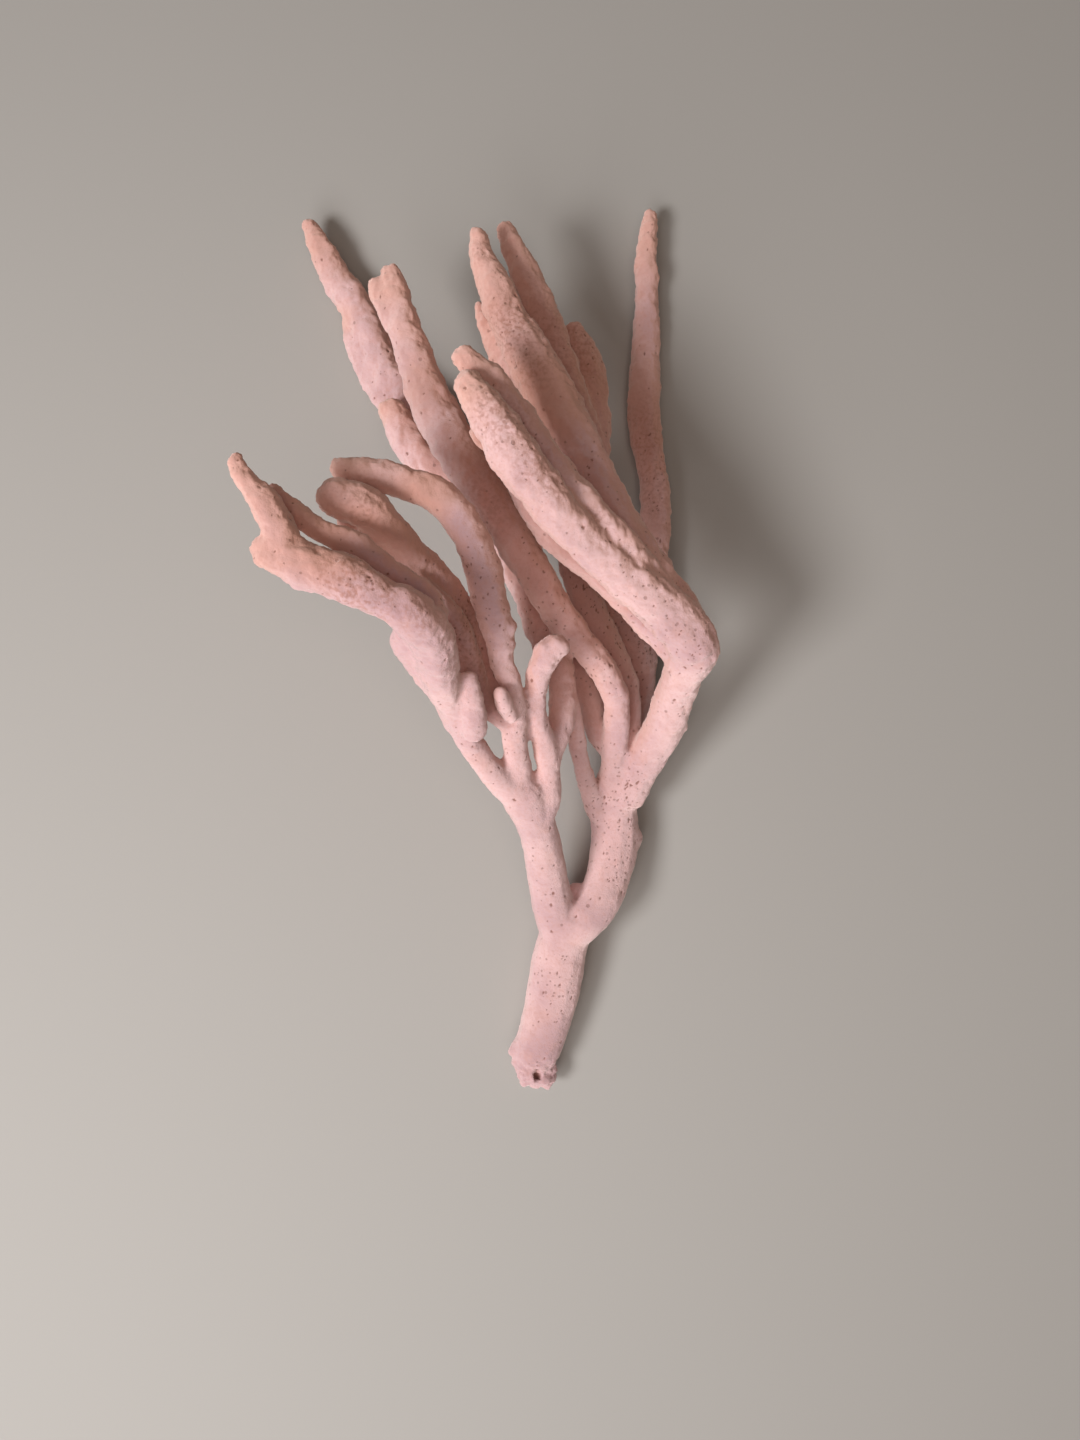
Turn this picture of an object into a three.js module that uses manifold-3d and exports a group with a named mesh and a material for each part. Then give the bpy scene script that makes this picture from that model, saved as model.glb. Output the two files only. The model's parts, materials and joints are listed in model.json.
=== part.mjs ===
// Dried branch sponge, lying on its back: a torn stalk that forks into a bush of blunt, knobbly fingers.
// It grew as one piece and is split here at its main forks, one mesh for each limb or finger.
// Millimetres, +Z up, +Y from the stalk to the finger tips, origin at the middle of the footprint.

import * as THREE from 'three';
import * as BufferGeometryUtils from 'three/addons/utils/BufferGeometryUtils.js';
import Module from 'manifold-3d';

const wasm = await Module();
wasm.setup();

// The routes below are given as they look from straight above: EYE_HEIGHT is how far the eye is over the
// resting plane, and what is nearer the eye looks larger and further from the middle.
const EYE_HEIGHT = 600;
const FORK_GAP = 0.35;
const SIDES = 8;
const RING_SPACING = 12;
const TIP_STEPS = [0.45, 0.8];

// How far the surface swells and sinks along and around a finger, as a share of its radius.
const OVAL_SHARE = 0.05;
const LUMP_SHARE = 0.06;
const LUMP_LENGTH = 19;

const PINK = 0xd9b1a8;
const ROSE = 0xcf9d95;
const PEACH = 0xd3a184;
const MAUVE = 0xb98f8b;

// A route runs outwards from its fork. Each point is [x, y, height, radius]: x and y from the middle of the
// view, height over the resting plane, and the radius, all in millimetres, with x, y and radius as they look
// from the eye. A lump is a rounded knob of the same kind, given by the same four numbers.
const LIMBS = [
  {
    name: 'stalk', colour: PINK,
    route: [[-2, -175, 11, 8.5], [-1.5, -167, 12, 11.5], [0, -157.5, 12.5, 12.6], [4, -142.5, 12.8, 12.2],
      [8, -127.5, 14.5, 13.4], [10.5, -114, 17, 12.5], [13.5, -105, 20, 12.5], [16.5, -96, 23, 12.5]],
    lumps: [[-12.5, -164.5, 12, 4.5], [-5.5, -179, 13, 5.5], [3, -180, 11, 5]],
    pits: [[-1, -179, 15, 3.8]],
  },
  {
    name: 'right_limb', colour: PINK,
    route: [[17, -107, 22, 9.5], [28.5, -92.5, 19.5, 10.2], [33.5, -80, 16.5, 11],
      [36.5, -67.5, 13.8, 11.8], [37.5, -57.5, 12.8, 11.9], [37, -46, 15, 11.5], [38, -35, 20, 11],
      [39, -25, 25, 9]],
    lumps: [[45, -59, 12, 6.2], [17.5, -86, 20, 4.5]],
  },
  {
    name: 'left_limb', colour: PINK,
    route: [[12, -104, 23, 11], [7, -94, 27, 10.5], [4.5, -82.5, 33, 9.9], [2.5, -70, 41, 9.8],
      [0, -59, 49, 9.5], [-3.5, -47.5, 58, 10.2], [-8, -38, 65, 11]],
  },
  {
    name: 'low_left_arm', colour: PINK,
    route: [[-11, -36, 68, 8.5], [-17.5, -32, 71, 7.6], [-27.5, -21.5, 79, 6.4], [-35, -11, 86, 6.3],
      [-40, 0, 94, 6.4], [-44.5, 9, 103, 7.2], [-49.5, 20, 114, 9.3], [-51.5, 32, 127, 10.2],
      [-54.5, 42, 138, 11.2], [-61, 50, 147, 11.6], [-69, 56.5, 152, 11], [-80, 61.5, 154, 10],
      [-95, 69.5, 155, 12], [-110, 75.5, 155, 11.8], [-123, 79.5, 155, 11.2], [-134, 83, 155, 9.2]],
  },
  {
    name: 'left_outer_strand', colour: PINK,
    route: [[-38, -9, 87, 5], [-45, 2.5, 93, 5], [-49.5, 11.5, 99, 5], [-55, 19, 106, 5.2],
      [-61, 26, 114, 5.4], [-66, 34, 123, 6], [-67.5, 41.5, 132, 6.6], [-64, 48, 140, 6]],
  },
  {
    name: 'low_left_finger', colour: ROSE,
    route: [[-127, 84, 156, 8.8], [-131, 97, 158, 8.5], [-137.5, 108.5, 160, 8], [-144.5, 116.5, 161, 6.2],
      [-148.5, 122.5, 162, 5], [-151, 127.5, 162, 4]],
  },
  {
    name: 'low_left_back_finger', colour: PEACH,
    route: [[-51, 50, 138, 7.5], [-60, 64, 138, 6.5], [-70, 71, 139, 6.2], [-82.5, 80, 141, 6.5],
      [-95, 89, 143, 6.6], [-107.5, 94, 145, 5.6], [-118.5, 100, 147, 5.4], [-126.5, 108.5, 148, 4.4],
      [-133, 115.5, 148, 3]],
  },
  {
    name: 'left_thumb', colour: PINK,
    route: [[-33, -8.5, 96, 5.6], [-33, 0, 101, 6], [-34, 10.5, 106, 5.6], [-35.5, 18.5, 110, 4.6]],
  },
  {
    name: 'hooked_finger', colour: MAUVE,
    route: [[-10, -37, 65, 8.5], [-11.3, -22.5, 72, 6.7], [-12.5, -10, 78, 6.3], [-12.6, 2.5, 83, 5.8],
      [-13, 12, 88, 5.5], [-15.3, 20, 91, 5.5], [-19, 29, 94, 5.8], [-20.5, 40, 98, 7],
      [-23, 52.5, 102, 8.2], [-25.7, 63, 105, 9], [-30, 80, 109, 8.9], [-36.5, 95, 112, 9.1],
      [-46.5, 108.5, 114, 9], [-57.5, 115.5, 116, 8.3], [-70, 119.5, 117, 8], [-82.5, 122.3, 118, 8.2],
      [-97.5, 124.5, 118, 6.4]],
    lumps: [[-15.5, 46.5, 101, 4], [-16, 37.5, 98, 3.8], [-18, 7.5, 92, 4.4], [-19.7, 13.5, 97, 4.2]],
  },
  {
    name: 'blunt_finger', colour: ROSE,
    route: [[-15, 5, 78, 5.5], [-22, 17, 77, 6.2], [-27.5, 31, 80, 7.2], [-33, 43, 86, 7.6],
      [-40, 56, 93, 7.6], [-51, 71, 103, 7.6], [-63.5, 83, 113, 7.8], [-75, 95, 122, 8.8],
      [-88, 107, 129, 10.2], [-101, 111, 131, 9.6]],
    lumps: [[-80.5, 92.5, 122, 6], [-86, 95.5, 123, 4.5]],
  },
  {
    name: 'slim_finger', colour: PEACH,
    route: [[-44, 53, 106, 5.5], [-55, 64, 111, 5.2], [-64.5, 72.5, 114, 4.8], [-75, 80, 117, 4.5],
      [-87.5, 90, 119, 4], [-97.5, 98, 120, 3.2]],
  },
  {
    name: 'short_hook', colour: PINK,
    route: [[-1, -46, 59, 9], [3.5, -37, 63, 7], [4.4, -28, 66, 6], [3.6, -19, 69, 5.8], [1.3, -9, 72, 5.7],
      [-1.5, 0, 76, 5.4], [-2.2, 10, 80, 5.2], [-1.2, 20, 85, 5.7], [0.5, 27.5, 90, 6.6],
      [4.2, 33.5, 93, 7.3], [7.5, 36, 94, 6.4]],
  },
  {
    name: 'long_left_finger', colour: ROSE,
    route: [[4, -22, 68, 6], [7, -11, 65, 6.3], [10.5, -1, 62, 6.2], [11.5, 10, 59, 6.3], [10.5, 21, 56, 7],
      [7.5, 32, 53, 8.4], [2.5, 43.5, 50, 9], [-2, 55, 47, 9], [-6.5, 66, 44, 8], [-12, 77.5, 41, 8.5],
      [-16.5, 90, 38, 8], [-21.5, 102.5, 35, 8.2], [-28.5, 114, 32, 8.4], [-36, 125, 29, 8.8],
      [-45, 136, 25, 9], [-55, 147, 20, 9.2], [-65, 159, 15, 9.2], [-75, 171, 11, 8.8],
      [-81, 184, 9.2, 8.5], [-87, 197, 8.8, 8.6], [-94.3, 210, 9, 8.4], [-101, 220, 10, 7.4],
      [-107, 231, 11.5, 6.4], [-112, 240.5, 13, 5.4], [-114.3, 245.5, 13.5, 4.3]],
  },
  {
    name: 'left_side_finger', colour: ROSE,
    route: [[-68, 152, 16, 6], [-77, 161, 12, 6.2], [-84, 170, 8.5, 5.8], [-88, 180, 7, 5.8],
      [-92.5, 190, 7, 5.4], [-94.5, 197, 7, 4.6]],
  },
  {
    name: 'left_short_finger', colour: PINK,
    route: [[-25, 106, 36, 7], [-38, 116, 38, 8], [-50, 123, 38, 9], [-59, 131, 37, 9.4],
      [-67.5, 142, 36, 8.6], [-74, 153.5, 35, 6.8]],
  },
  {
    name: 'right_link', colour: PINK,
    route: [[30, -47, 19, 6], [26, -38, 25, 5.4], [23.3, -27.5, 34, 4.8], [20, -15, 43, 4.5],
      [17.5, -4, 50, 4.6], [15.5, 6, 55, 4.6], [13, 16, 57, 4.6]],
  },
  {
    name: 'middle_finger', colour: MAUVE,
    route: [[37, -31, 24, 8.6], [36.5, -20, 32, 7], [37.5, -9, 39, 6.6], [38.5, 1, 45, 6.4],
      [38, 11, 50, 6.6], [34, 20.5, 54, 6.9], [28, 30, 58, 7], [20, 40, 61, 7.4], [12, 50, 64, 8],
      [5, 60, 67, 8.6], [-1, 70, 69, 9], [-6.5, 80, 70, 9.5], [-12.5, 90, 70, 10], [-22, 105, 70, 10.8],
      [-32, 121, 69, 11.4], [-41, 135, 68, 11.4], [-48, 147, 66, 11.2], [-54.7, 160, 64, 10.8],
      [-60.5, 175, 62, 9.6], [-65.3, 188.5, 61, 8.9], [-69.5, 202.5, 60, 8.2], [-72.8, 215, 60, 6.6],
      [-74.5, 222, 60, 5]],
    lumps: [[-80, 211.5, 60, 5.6]],
  },
  {
    name: 'middle_stub', colour: MAUVE,
    route: [[34, -14, 30, 7], [28.5, -4, 32, 6.8], [25.5, 7.5, 35, 6.4], [22, 18, 37, 6], [18, 28, 38, 5.6],
      [13, 38, 38, 5], [9, 45, 37, 4.2]],
  },
  {
    name: 'back_finger', colour: MAUVE,
    route: [[39, -20, 27, 7], [44.5, -3, 31, 6], [44, 11.5, 33, 6.3], [39, 26, 35, 7.2], [32, 40, 36, 7.8],
      [26, 53, 37, 8.2], [21, 66, 38, 8.6], [17.5, 80, 38, 8.6], [18.5, 95, 38, 8.2], [21.5, 110, 37, 8.2],
      [25, 125, 36, 8.4], [27, 140, 35, 8.4], [26, 155, 34, 8.6], [24.5, 169, 33, 9], [21.5, 181, 32, 8.6],
      [17.5, 191.5, 32, 6.2]],
  },
  {
    name: 'upper_back_finger', colour: ROSE,
    route: [[27, 133, 38, 7.5], [21, 147.5, 42, 8], [15, 165, 45, 8], [10, 180, 46, 7.5],
      [6, 193.5, 47, 7.4], [2, 203, 47, 7.3], [-2.5, 212, 48, 7.3], [-6.8, 221.5, 48, 7.1],
      [-11, 231, 48, 6.4], [-15.2, 240, 48, 5.4], [-17, 244.5, 48, 4.3]],
  },
  {
    name: 'far_right_finger', colour: PEACH,
    route: [[43, -22, 19, 8], [45, -9, 18, 6.4], [46.7, 2.5, 17, 6.2], [49.8, 12.5, 17, 6.8],
      [51.2, 24, 17, 7.2], [50.5, 38, 17, 8.3], [52.5, 54, 16, 8.5], [55.5, 71, 14, 8],
      [57.5, 87.5, 12, 6.9], [58.3, 104, 10, 7.3], [56.5, 122.5, 8.6, 7.1], [54, 135, 8, 7.4],
      [52.5, 147.5, 7.8, 7.9], [52, 160, 7.8, 8.1], [52.2, 171, 7.6, 7.9], [53, 183, 7.4, 7],
      [53.3, 202.5, 8, 6.1], [53.5, 216, 9, 5.6], [53.3, 230, 10, 5.5], [54, 241, 10.5, 4.8],
      [55, 250.5, 11, 3.8]],
  },
  {
    name: 'rear_finger', colour: MAUVE,
    route: [[50, 26, 19, 7], [47, 36, 22, 7.6], [41.5, 47.5, 24, 7.8], [36, 58, 26, 7.6], [30, 70, 28, 7.4],
      [25.5, 84, 30, 7], [22.5, 98, 32, 6]],
  },
  {
    name: 'elbow_limb', colour: PINK,
    route: [[42, -38, 20, 10.5], [48.5, -24, 28, 9.8], [56.3, -13, 36, 9.3], [61.8, -3, 45, 9.5],
      [65.3, 7, 54, 9.6], [69, 17, 63, 9.6], [73, 26, 72, 10.4], [77.5, 34, 80, 12]],
  },
  {
    name: 'front_arm', colour: PINK,
    route: [[79, 34, 82, 12.6], [74, 42.5, 85, 12.9], [64, 54, 89, 12.6], [50, 66, 94, 12],
      [36, 77, 99, 10.8], [22.5, 90, 105, 10.6], [10, 102.5, 110, 11.2], [0, 115, 113, 11.8],
      [-10, 129, 116, 12], [-20, 144, 117, 11.5], [-28, 156.5, 118, 10], [-34.5, 166, 118, 7.8]],
    lumps: [[-12.5, 118, 112, 4], [-37, 170.5, 118, 4.8]],
  },
  {
    name: 'tall_finger', colour: MAUVE,
    route: [[79, 38, 80, 11], [69, 54, 82, 11], [58, 70, 84, 10.6], [49, 84, 85, 10.2], [41, 97.5, 84, 9.8],
      [33.5, 111.5, 81, 9.8], [26, 125, 78, 10.6], [19, 137.5, 75, 11.6], [11.5, 151, 73, 12.5],
      [5, 163.5, 71, 12.6], [-2.5, 176, 70, 12], [-9, 188, 69, 11], [-15.5, 200, 68, 10],
      [-20, 210, 68, 9.3], [-24, 220, 67, 8.4], [-28.5, 230, 67, 6.3], [-31, 241, 66, 4.6]],
    lumps: [[37.5, 129, 80, 3.6]],
  },
  {
    name: 'front_arm_twin', colour: ROSE,
    route: [[60, 64, 88, 9.5], [50.5, 77, 93, 8.4], [43, 87, 99, 7.2], [35.2, 96, 102, 6.8],
      [26.8, 104.5, 103, 7.2], [19.2, 112.8, 103, 7.6], [11.5, 121, 102, 7.8], [3.8, 130, 101, 8],
      [-6.5, 145, 102, 8.2], [-17.5, 160, 105, 8], [-26, 171, 108, 7.4], [-37, 180, 110, 6.2]],
  },
  {
    name: 'under_finger', colour: PINK,
    route: [[72, 32, 73, 8.5], [57.5, 46.5, 74, 8.2], [46, 58, 76, 8], [35.5, 68.8, 78, 7.8],
      [25, 77, 81, 7.6], [15.5, 84.5, 84, 7.4], [7, 92.7, 87, 7.3], [-0.5, 102, 89, 7.2], [-6, 111, 91, 7],
      [-15, 126, 93, 6.2], [-24, 137, 94, 5], [-31, 142.5, 95, 3.6]],
  },
  {
    name: 'tall_finger_spur', colour: PEACH,
    route: [[6, 142, 66, 7], [-4, 159, 62, 7], [-12, 171.5, 60, 6.6], [-20.5, 184, 58, 5.4],
      [-26.5, 195, 57, 4.2], [-29.5, 205, 56, 3.2]],
  },
];

// Moves a point from where it looks to be to where it is: towards the line of sight as it rises.
function truePlace([x, y, height, radius]) {
  const shrink = 1 - height / EYE_HEIGHT;
  return { centre: new THREE.Vector3(x * shrink, y * shrink, height), radius: radius * shrink };
}

// Joins shared corners and drops the collapsed triangles at the poles, so that the mesh is one closed skin.
function toSolid(geometry) {
  geometry.deleteAttribute('normal');
  geometry.deleteAttribute('uv');
  const merged = BufferGeometryUtils.mergeVertices(geometry, 1e-4);
  const corners = merged.index.array;
  const kept = [];
  for (let i = 0; i < corners.length; i += 3) {
    const [a, b, c] = corners.slice(i, i + 3);
    if (a !== b && b !== c && c !== a) kept.push(a, b, c);
  }
  return new wasm.Manifold(new wasm.Mesh({
    numProp: 3,
    vertProperties: Float32Array.from(merged.attributes.position.array),
    triVerts: Uint32Array.from(kept),
  }));
}

function toGeometry(solid) {
  const mesh = solid.getMesh();
  const geometry = new THREE.BufferGeometry();
  geometry.setAttribute('position', new THREE.BufferAttribute(mesh.vertProperties, 3));
  geometry.setIndex(new THREE.BufferAttribute(mesh.triVerts, 1));
  geometry.computeVertexNormals();
  return geometry;
}

// A smooth value between the route's own radii at a fractional point number.
function radiusAlong(radii, position) {
  const last = radii.length - 1;
  const i = Math.min(Math.floor(position), last - 1);
  return THREE.MathUtils.lerp(radii[i], radii[i + 1], THREE.MathUtils.smoothstep(position - i, 0, 1));
}

// A straight finger turned as a lathe profile with rounded ends, then bent along its route.
function fingerGeometry(route, seed, extra) {
  const places = route.map(truePlace);
  const radii = places.map((place) => place.radius);
  const curve = new THREE.CatmullRomCurve3(places.map((place) => place.centre), false, 'centripetal');
  const length = curve.getLength();
  const rings = Math.max(3, Math.round(length / RING_SPACING));
  const radiusAt = (distance) => {
    const u = THREE.MathUtils.clamp(distance / length, 0, 1);
    return radiusAlong(radii, curve.getUtoTmapping(u) * (radii.length - 1)) + extra;
  };

  const firstRadius = radii[0] + extra;
  const lastRadius = radii[radii.length - 1] + extra;
  const profile = [new THREE.Vector2(0, -firstRadius * 0.6)];
  for (let ring = 0; ring <= rings; ring++) {
    const distance = length * ring / rings;
    profile.push(new THREE.Vector2(radiusAt(distance), distance));
  }
  for (const step of TIP_STEPS) {
    profile.push(new THREE.Vector2(lastRadius * Math.sqrt(1 - step * step), length + lastRadius * step));
  }
  profile.push(new THREE.Vector2(0, length + lastRadius));

  const geometry = new THREE.LatheGeometry(profile, SIDES, seed);
  const frames = curve.computeFrenetFrames(rings, false);
  const position = geometry.attributes.position;
  for (let i = 0; i < position.count; i++) {
    const across = position.getX(i);
    const along = position.getY(i);
    const aside = position.getZ(i);
    const inside = THREE.MathUtils.clamp(along, 0, length);
    const ring = Math.round(inside / length * rings);
    const angle = Math.atan2(aside, across);
    const oval = OVAL_SHARE * Math.sin(2 * angle + seed);
    const wave = along / LUMP_LENGTH * 2 * Math.PI + seed * 2 + Math.sin(angle + seed) * 1.4;
    const lump = LUMP_SHARE * Math.sin(wave);
    const swell = 1 + oval + lump;
    const point = curve.getPointAt(inside / length)
      .addScaledVector(frames.tangents[ring], along - inside)
      .addScaledVector(frames.normals[ring], across * swell)
      .addScaledVector(frames.binormals[ring], -aside * swell);
    position.setXYZ(i, point.x, point.y, point.z);
  }
  return geometry;
}

// A rounded knob, or the hollow of a pit when it is cut away.
function knobGeometry(spot, extra) {
  const { centre, radius } = truePlace(spot);
  const geometry = new THREE.IcosahedronGeometry(radius + extra, 1);
  geometry.translate(centre.x, centre.y, centre.z);
  return geometry;
}

// Presses whatever reaches below the resting plane flat against it.
function pressFlat(geometry, extra) {
  const position = geometry.attributes.position;
  for (let i = 0; i < position.count; i++) {
    position.setZ(i, Math.max(position.getZ(i), -extra));
  }
  return geometry;
}

function limbSolid(limb, seed, extra) {
  let solid = toSolid(pressFlat(fingerGeometry(limb.route, seed, extra), extra));
  for (const lump of limb.lumps ?? []) {
    solid = solid.add(toSolid(pressFlat(knobGeometry(lump, extra), extra)));
  }
  for (const pit of limb.pits ?? []) {
    solid = solid.subtract(toSolid(knobGeometry(pit, -extra)));
  }
  return solid;
}

// Where a finger passes right through another one, only its largest stretch is kept.
function largestBody(solid) {
  const bodies = solid.decompose();
  return bodies.reduce((best, body) => (body.volume() > best.volume() ? body : best));
}

const sponge = new THREE.Group();
const standing = [];
LIMBS.forEach((limb, index) => {
  const seed = index * 2.4;
  let solid = limbSolid(limb, seed, 0);
  for (const grown of standing) {
    solid = solid.subtract(grown);
  }
  solid = largestBody(solid);
  standing.push(limbSolid(limb, seed, FORK_GAP));

  const material = new THREE.MeshStandardMaterial({ color: limb.colour, roughness: 0.95, metalness: 0 });
  const mesh = new THREE.Mesh(toGeometry(solid), material);
  mesh.name = limb.name;
  sponge.add(mesh);
});

// The origin goes to the middle of the footprint, on the resting plane.
const box = new THREE.Box3().setFromObject(sponge);
const middle = box.getCenter(new THREE.Vector3());
sponge.position.set(-middle.x, -middle.y, -box.min.z);

const part = new THREE.Group();
part.add(sponge);

export default part;
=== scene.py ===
import json

import bpy
import numpy as np
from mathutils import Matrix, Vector
from mathutils.kdtree import KDTree

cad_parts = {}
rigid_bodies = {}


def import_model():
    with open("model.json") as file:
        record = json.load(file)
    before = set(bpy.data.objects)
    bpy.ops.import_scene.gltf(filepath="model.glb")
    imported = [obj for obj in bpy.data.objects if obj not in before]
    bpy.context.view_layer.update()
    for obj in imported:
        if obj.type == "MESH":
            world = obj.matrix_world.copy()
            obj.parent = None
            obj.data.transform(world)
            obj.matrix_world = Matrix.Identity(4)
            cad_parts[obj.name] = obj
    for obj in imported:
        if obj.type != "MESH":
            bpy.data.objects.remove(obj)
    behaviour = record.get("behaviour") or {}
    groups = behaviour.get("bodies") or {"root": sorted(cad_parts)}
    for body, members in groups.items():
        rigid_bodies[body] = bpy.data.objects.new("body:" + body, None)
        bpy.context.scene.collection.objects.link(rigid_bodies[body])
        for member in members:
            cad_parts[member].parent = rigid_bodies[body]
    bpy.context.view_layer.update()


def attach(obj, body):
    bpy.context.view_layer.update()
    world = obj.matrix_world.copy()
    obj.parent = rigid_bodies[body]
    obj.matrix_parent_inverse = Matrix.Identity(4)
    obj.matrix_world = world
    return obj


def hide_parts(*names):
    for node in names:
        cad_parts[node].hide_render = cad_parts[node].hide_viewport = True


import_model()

# The view
# The sponge lies on its back, and the eye looks straight down on it from EYE_HEIGHT millimetres. EYE_FOOT is
# the spot on the resting plane below the eye, in the frame's own millimetres.
MM = 0.001
EYE_HEIGHT = 600
EYE_FOOT = Vector((19.221, -34.002, 0))
VIEW_HEIGHT = 720
SENSOR = 36

bpy.ops.object.select_all(action="DESELECT")
bpy.ops.object.camera_add(location=(EYE_FOOT + Vector((0, 0, EYE_HEIGHT))) * MM, rotation=(0, 0, 0))
eye = bpy.context.object
eye.name = "eye"
eye.data.sensor_width = SENSOR
eye.data.lens = SENSOR * EYE_HEIGHT / VIEW_HEIGHT
bpy.context.scene.camera = eye

# Stalk and the limbs at its fork
# The torn foot of the dried sponge, and the limbs that it forks into. A limb's points run outwards from its
# fork: x and y from the middle of the view, height over the resting plane, and radius, all in millimetres,
# with x, y and radius as they look from the eye.
# FILLET_LOSS and TIP_LOSS make up for what the smoothing takes off the sides and the ends.
FILLET_LOSS = 0.35
TIP_LOSS = 0.9
AXIS_STEP = 2.5
TIP_ROUNDING = ((0.5, 0.87), (0.85, 0.53), (1.0, 0.08))

raw_limbs = []
axis_points = []
groups = {}
tips = []


def true_place(x, y, height):
    """The place in metres of a point that looks, from the eye, to be at x and y on the resting plane."""
    shrink = 1 - height / EYE_HEIGHT
    return (Vector((x * shrink, y * shrink, height)) + EYE_FOOT) * MM


def true_radius(radius, height):
    return (radius * (1 - height / EYE_HEIGHT) + FILLET_LOSS) * MM


def note_axis(group, places, radii):
    """Keeps points along the limb's middle line, so that the skin knows later which limbs lie near it."""
    for start, end, r0, r1 in zip(places, places[1:], radii, radii[1:]):
        steps = max(1, round((end - start).length / (AXIS_STEP * MM)))
        along = (end - start).normalized()
        for i in range(steps):
            share = i / steps
            axis_points.append((group, start.lerp(end, share), r0 + (r1 - r0) * share, along))


def add_knob(x, y, height, radius):
    bpy.ops.mesh.primitive_ico_sphere_add(
        subdivisions=3, radius=true_radius(radius, height), location=true_place(x, y, height))
    raw_limbs.append(bpy.context.object)


def grow_limb(group, node, route, knobs=(), tip=0):
    """A limb as a round tube through its points, with a rounded end and any side knobs."""
    places = [true_place(*point[:3]) for point in route]
    radii = [true_radius(point[3], point[2]) for point in route]
    note_axis(group, places, radii)
    nodes = groups.setdefault(group, [])
    if node not in nodes:
        nodes.append(node)

    ahead = (places[-1] - places[-2]).normalized()
    end, blunt = places[-1] + ahead * TIP_LOSS * MM, radii[-1]
    if tip:
        tips.append((end + ahead * blunt * 0.5, tip * MM))
    places += [end + ahead * blunt * reach for reach, _ in TIP_ROUNDING]
    radii += [blunt * share for _, share in TIP_ROUNDING]

    bpy.ops.curve.primitive_bezier_curve_add(location=(0, 0, 0))
    limb = bpy.context.object
    limb.data.bevel_depth = 1
    limb.data.bevel_resolution = 4
    limb.data.use_fill_caps = True
    spline = limb.data.splines[0]
    spline.resolution_u = 6
    spline.radius_interpolation = "CARDINAL"
    spline.bezier_points.add(len(places) - 2)
    for point, place, radius in zip(spline.bezier_points, places, radii):
        point.co = place
        point.radius = radius
        point.handle_left_type = point.handle_right_type = "AUTO"
    bpy.ops.object.convert(target="MESH")
    raw_limbs.append(limb)
    for knob in knobs:
        add_knob(*knob)
    return limb


stalk = grow_limb(
    "stalk_and_limbs", "stalk",
    [(16.5, -96, 23, 12.5), (13.5, -105, 20, 12.5), (10.5, -114, 17, 12.8), (8, -127.5, 14.5, 13.2),
     (5, -142.5, 13, 12.7), (1, -157, 12.5, 12), (-1.8, -166, 12, 11.3), (-3.2, -172, 11, 9.2)],
    knobs=[(-10.5, -163, 12, 4), (-13.6, -165.5, 13, 2.6), (-10, -171, 11, 4), (-6.3, -178.3, 13, 4.3),
           (3.2, -179.3, 12, 4.6), (3, -173, 12, 5), (-2, -173, 6, 6), (-1.5, -181, 8, 3)])

grow_limb(
    "stalk_and_limbs", "right_limb",
    [(14.5, -107, 22, 9.5), (20.5, -101, 24, 10.4), (28.5, -92.5, 22.5, 10.4), (33.5, -80, 18, 11),
     (36.5, -67.5, 14.5, 11.8), (37.5, -57.5, 13.2, 11.9), (37, -46, 15, 11.5), (38, -35, 20, 11),
     (39, -25, 25, 9)],
    knobs=[(45, -59, 12, 6.2), (17.5, -86, 20, 4.5), (43, -66, 14, 5.6)])
grow_limb(
    "stalk_and_limbs", "left_limb",
    [(11, -105, 20, 11), (7, -94, 25.5, 10.5), (4.5, -82.5, 33, 9.9), (2.5, -70, 41, 9.8),
     (0, -59, 49, 9.5), (-3.5, -47.5, 58, 10.2), (-8, -38, 65, 11)])
grow_limb(
    "stalk_and_limbs", "right_link",
    [(30, -47, 19, 6), (26, -38, 25, 5.4), (22.6, -27.5, 34, 4.4), (19.3, -15, 43, 4.2),
     (17.5, -4, 50, 4.6), (15.5, 6, 55, 4.6), (13, 16, 57, 4.6)])

# Low left arm
# The arm that leaves the left limb, rises the highest and ends blunt at the far left, with the strand along
# its outer side, the pointed finger at its end, the thin finger behind it and the thumb on its inner side.
grow_limb(
    "low_left_group", "low_left_arm",
    [(-11, -36, 68, 8.5), (-17.5, -32, 71, 7.6), (-27.5, -21.5, 79, 6.4), (-35, -11, 86, 6.3),
     (-40, 0, 94, 6.4), (-44.5, 9, 103, 7.2), (-49.5, 20, 114, 9.3), (-51.5, 32, 127, 10.2),
     (-54.5, 42, 138, 11.2), (-61, 50, 147, 11.6), (-69, 56.5, 152, 11), (-80, 61.5, 154, 10),
     (-95, 69.5, 155, 12), (-110, 75.5, 155, 11.8), (-123, 79.5, 155, 11.2), (-134, 83, 155, 9.2)],
    tip=22)
grow_limb(
    "low_left_group", "left_outer_strand",
    [(-38, -9, 87, 5), (-45, 2.5, 93, 5), (-49.5, 11.5, 99, 5), (-55, 19, 106, 5.2),
     (-61, 26, 114, 5.4), (-66, 34, 123, 6), (-67.5, 41.5, 132, 6.6), (-64, 48, 140, 6)])
grow_limb(
    "low_left_group", "low_left_finger",
    [(-127, 84, 156, 8.8), (-131, 97, 158, 8.5), (-137.5, 108.5, 160, 8), (-144.5, 116.5, 161, 6.2),
     (-148.5, 122.5, 162, 5), (-151, 127.5, 162, 4)], tip=26)
grow_limb(
    "low_left_group", "low_left_back_finger",
    [(-51, 50, 138, 7.5), (-60, 64, 138, 6.5), (-70, 71, 139, 6.2), (-82.5, 80, 141, 6.5),
     (-95, 89, 143, 6.6), (-107.5, 94, 145, 5.6), (-118.5, 100, 147, 5.4), (-126.5, 108.5, 148, 4.4),
     (-133, 115.5, 148, 3)], tip=50)
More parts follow.
